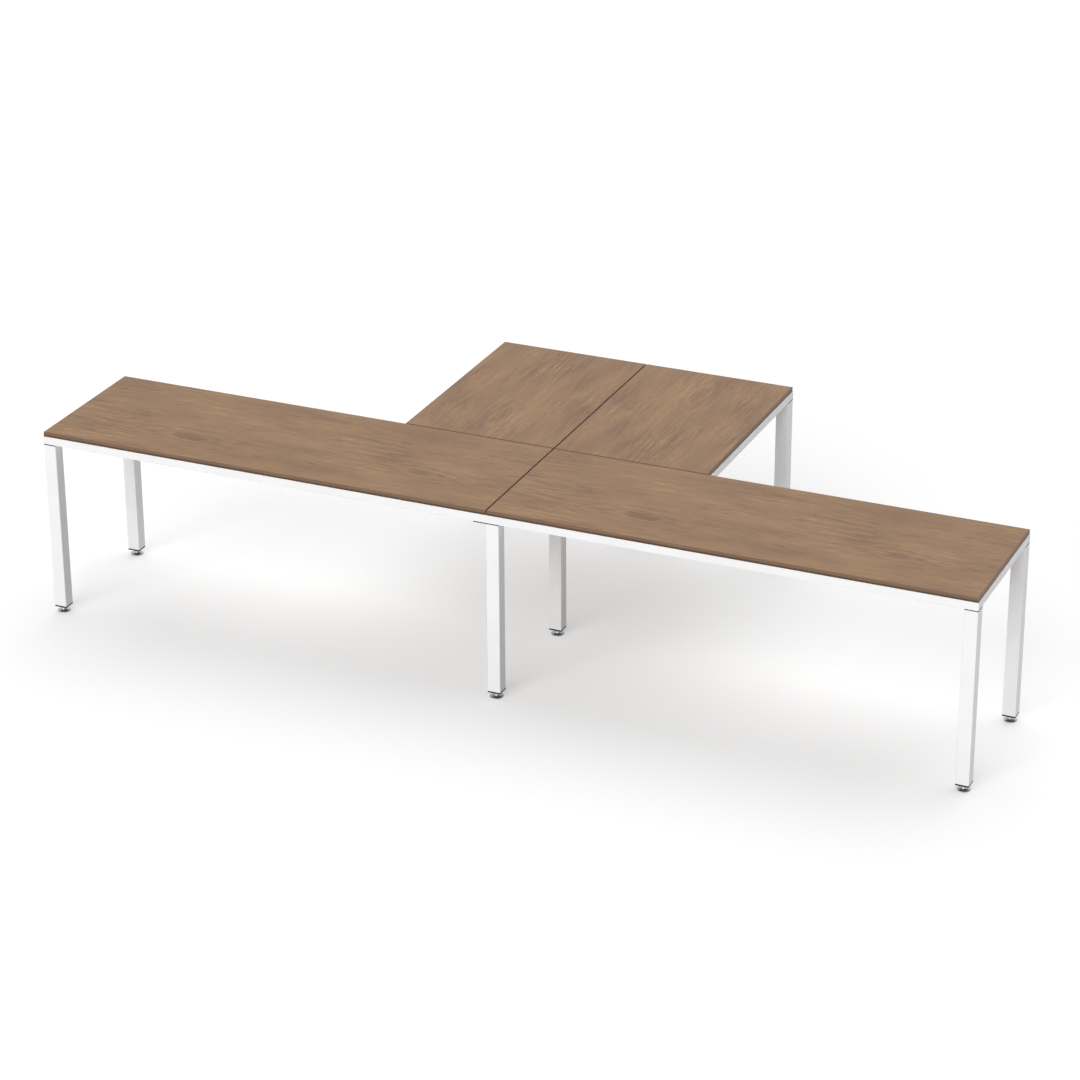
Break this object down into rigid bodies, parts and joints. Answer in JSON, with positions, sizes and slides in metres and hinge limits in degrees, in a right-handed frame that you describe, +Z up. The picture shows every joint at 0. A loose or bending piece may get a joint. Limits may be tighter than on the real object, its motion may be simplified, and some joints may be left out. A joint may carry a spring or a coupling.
{
  "type": "t-shaped office desk",
  "caption": "T-shaped bench desk: long walnut-look tops side by side with a stem behind, on a white steel tube frame with square legs and levelling feet.",
  "frame": {"origin": "on the floor, below the middle of the desk's outline", "axes": "+X along the bar of the T, +Y from the bar's front edge towards the stem, +Z up"},
  "size_m": [3.608, 1.508, 0.74],
  "materials": {
    "walnut_laminate": "matt laminate",
    "edge_band": "matt edge band",
    "white_frame": "white powder coat",
    "dark_plate": "dark grey paint",
    "plug_plastic": "moulded",
    "foot_steel": "zinc plated",
    "zinc_fastener": "zinc plated"
  },
  "bodies": {
    "desk": {"bar_left_top": "walnut_laminate", "bar_left_edge_band": "edge_band", "bar_left_front_rail": "white_frame", "bar_left_right_rail": "white_frame", "bar_left_rear_rail": "white_frame", "bar_left_left_rail": "white_frame", "bar_right_top": "walnut_laminate", "bar_right_edge_band": "edge_band", "bar_right_front_rail": "white_frame", "bar_right_right_rail": "white_frame", "bar_right_rear_rail": "white_frame", "bar_right_left_rail": "white_frame", "stem_left_top": "walnut_laminate", "stem_left_edge_band": "edge_band", "stem_left_front_rail": "white_frame", "stem_left_right_rail": "white_frame", "stem_left_rear_rail": "white_frame", "stem_left_left_rail": "white_frame", "stem_right_top": "walnut_laminate", "stem_right_edge_band": "edge_band", "stem_right_front_rail": "white_frame", "stem_right_right_rail": "white_frame", "stem_right_rear_rail": "white_frame", "stem_right_left_rail": "white_frame", "front_left_leg": "white_frame", "rear_left_leg": "white_frame", "front_middle_leg": "white_frame", "rear_middle_leg": "white_frame", "front_right_leg": "white_frame", "rear_right_leg": "white_frame", "stem_left_leg": "white_frame", "stem_middle_leg": "white_frame", "stem_right_leg": "white_frame", "leg_end_plugs": "plug_plastic", "leg_spacer_plates": "dark_plate", "frame_link_plates": "dark_plate", "centre_link_plate": "dark_plate", "leg_bolts": "zinc_fastener", "frame_link_bolts": "zinc_fastener", "top_fixing_tabs": "white_frame", "top_fixing_screws": "zinc_fastener"},
    "front_left_foot": {"front_left_foot": "foot_steel"},
    "front_left_stud": {"front_left_foot_stud": "foot_steel"},
    "rear_left_foot": {"rear_left_foot": "foot_steel"},
    "rear_left_stud": {"rear_left_foot_stud": "foot_steel"},
    "front_middle_foot": {"front_middle_foot": "foot_steel"},
    "front_middle_stud": {"front_middle_foot_stud": "foot_steel"},
    "rear_middle_foot": {"rear_middle_foot": "foot_steel"},
    "rear_middle_stud": {"rear_middle_foot_stud": "foot_steel"},
    "front_right_foot": {"front_right_foot": "foot_steel"},
    "front_right_stud": {"front_right_foot_stud": "foot_steel"},
    "rear_right_foot": {"rear_right_foot": "foot_steel"},
    "rear_right_stud": {"rear_right_foot_stud": "foot_steel"},
    "stem_left_foot": {"stem_left_foot": "foot_steel"},
    "stem_left_stud": {"stem_left_foot_stud": "foot_steel"},
    "stem_middle_foot": {"stem_middle_foot": "foot_steel"},
    "stem_middle_stud": {"stem_middle_foot_stud": "foot_steel"},
    "stem_right_foot": {"stem_right_foot": "foot_steel"},
    "stem_right_stud": {"stem_right_foot_stud": "foot_steel"}
  },
  "joints": [
    {"name": "front_left_foot_lift", "type": "slide", "parent": "desk", "child": "front_left_foot", "axis": [0, 0, 1], "range_m": [-0.02, 0]},
    {"name": "front_left_stud_turn", "type": "hinge", "parent": "front_left_foot", "child": "front_left_stud", "pos_m": [-1.779, -0.729, 0.023], "axis": [0, 0, 1], "range_deg": [-4810, 0]},
    {"name": "rear_left_foot_lift", "type": "slide", "parent": "desk", "child": "rear_left_foot", "axis": [0, 0, 1], "range_m": [-0.02, 0]},
    {"name": "rear_left_stud_turn", "type": "hinge", "parent": "rear_left_foot", "child": "rear_left_stud", "pos_m": [-1.779, -0.175, 0.023], "axis": [0, 0, 1], "range_deg": [-4810, 0]},
    {"name": "front_middle_foot_lift", "type": "slide", "parent": "desk", "child": "front_middle_foot", "axis": [0, 0, 1], "range_m": [-0.02, 0]},
    {"name": "front_middle_stud_turn", "type": "hinge", "parent": "front_middle_foot", "child": "front_middle_stud", "pos_m": [0.025, -0.729, 0.023], "axis": [0, 0, 1], "range_deg": [-4810, 0]},
    {"name": "rear_middle_foot_lift", "type": "slide", "parent": "desk", "child": "rear_middle_foot", "axis": [0, 0, 1], "range_m": [-0.02, 0]},
    {"name": "rear_middle_stud_turn", "type": "hinge", "parent": "rear_middle_foot", "child": "rear_middle_stud", "pos_m": [0.025, -0.175, 0.023], "axis": [0, 0, 1], "range_deg": [-4810, 0]},
    {"name": "front_right_foot_lift", "type": "slide", "parent": "desk", "child": "front_right_foot", "axis": [0, 0, 1], "range_m": [-0.02, 0]},
    {"name": "front_right_stud_turn", "type": "hinge", "parent": "front_right_foot", "child": "front_right_stud", "pos_m": [1.779, -0.729, 0.023], "axis": [0, 0, 1], "range_deg": [-4810, 0]},
    {"name": "rear_right_foot_lift", "type": "slide", "parent": "desk", "child": "rear_right_foot", "axis": [0, 0, 1], "range_m": [-0.02, 0]},
    {"name": "rear_right_stud_turn", "type": "hinge", "parent": "rear_right_foot", "child": "rear_right_stud", "pos_m": [1.779, -0.175, 0.023], "axis": [0, 0, 1], "range_deg": [-4810, 0]},
    {"name": "stem_left_foot_lift", "type": "slide", "parent": "desk", "child": "stem_left_foot", "axis": [0, 0, 1], "range_m": [-0.02, 0]},
    {"name": "stem_left_stud_turn", "type": "hinge", "parent": "stem_left_foot", "child": "stem_left_stud", "pos_m": [-0.579, 0.729, 0.023], "axis": [0, 0, 1], "range_deg": [-4810, 0]},
    {"name": "stem_middle_foot_lift", "type": "slide", "parent": "desk", "child": "stem_middle_foot", "axis": [0, 0, 1], "range_m": [-0.02, 0]},
    {"name": "stem_middle_stud_turn", "type": "hinge", "parent": "stem_middle_foot", "child": "stem_middle_stud", "pos_m": [0.025, 0.729, 0.023], "axis": [0, 0, 1], "range_deg": [-4810, 0]},
    {"name": "stem_right_foot_lift", "type": "slide", "parent": "desk", "child": "stem_right_foot", "axis": [0, 0, 1], "range_m": [-0.02, 0]},
    {"name": "stem_right_stud_turn", "type": "hinge", "parent": "stem_right_foot", "child": "stem_right_stud", "pos_m": [0.579, 0.729, 0.023], "axis": [0, 0, 1], "range_deg": [-4810, 0]}
  ],
  "couplings": [
    {"joint": "front_left_stud_turn", "follows": "front_left_foot_lift", "rad_per_m": 4188.8},
    {"joint": "rear_left_stud_turn", "follows": "rear_left_foot_lift", "rad_per_m": 4188.8},
    {"joint": "front_middle_stud_turn", "follows": "front_middle_foot_lift", "rad_per_m": 4188.8},
    {"joint": "rear_middle_stud_turn", "follows": "rear_middle_foot_lift", "rad_per_m": 4188.8},
    {"joint": "front_right_stud_turn", "follows": "front_right_foot_lift", "rad_per_m": 4188.8},
    {"joint": "rear_right_stud_turn", "follows": "rear_right_foot_lift", "rad_per_m": 4188.8},
    {"joint": "stem_left_stud_turn", "follows": "stem_left_foot_lift", "rad_per_m": 4188.8},
    {"joint": "stem_middle_stud_turn", "follows": "stem_middle_foot_lift", "rad_per_m": 4188.8},
    {"joint": "stem_right_stud_turn", "follows": "stem_right_foot_lift", "rad_per_m": 4188.8}
  ]
}
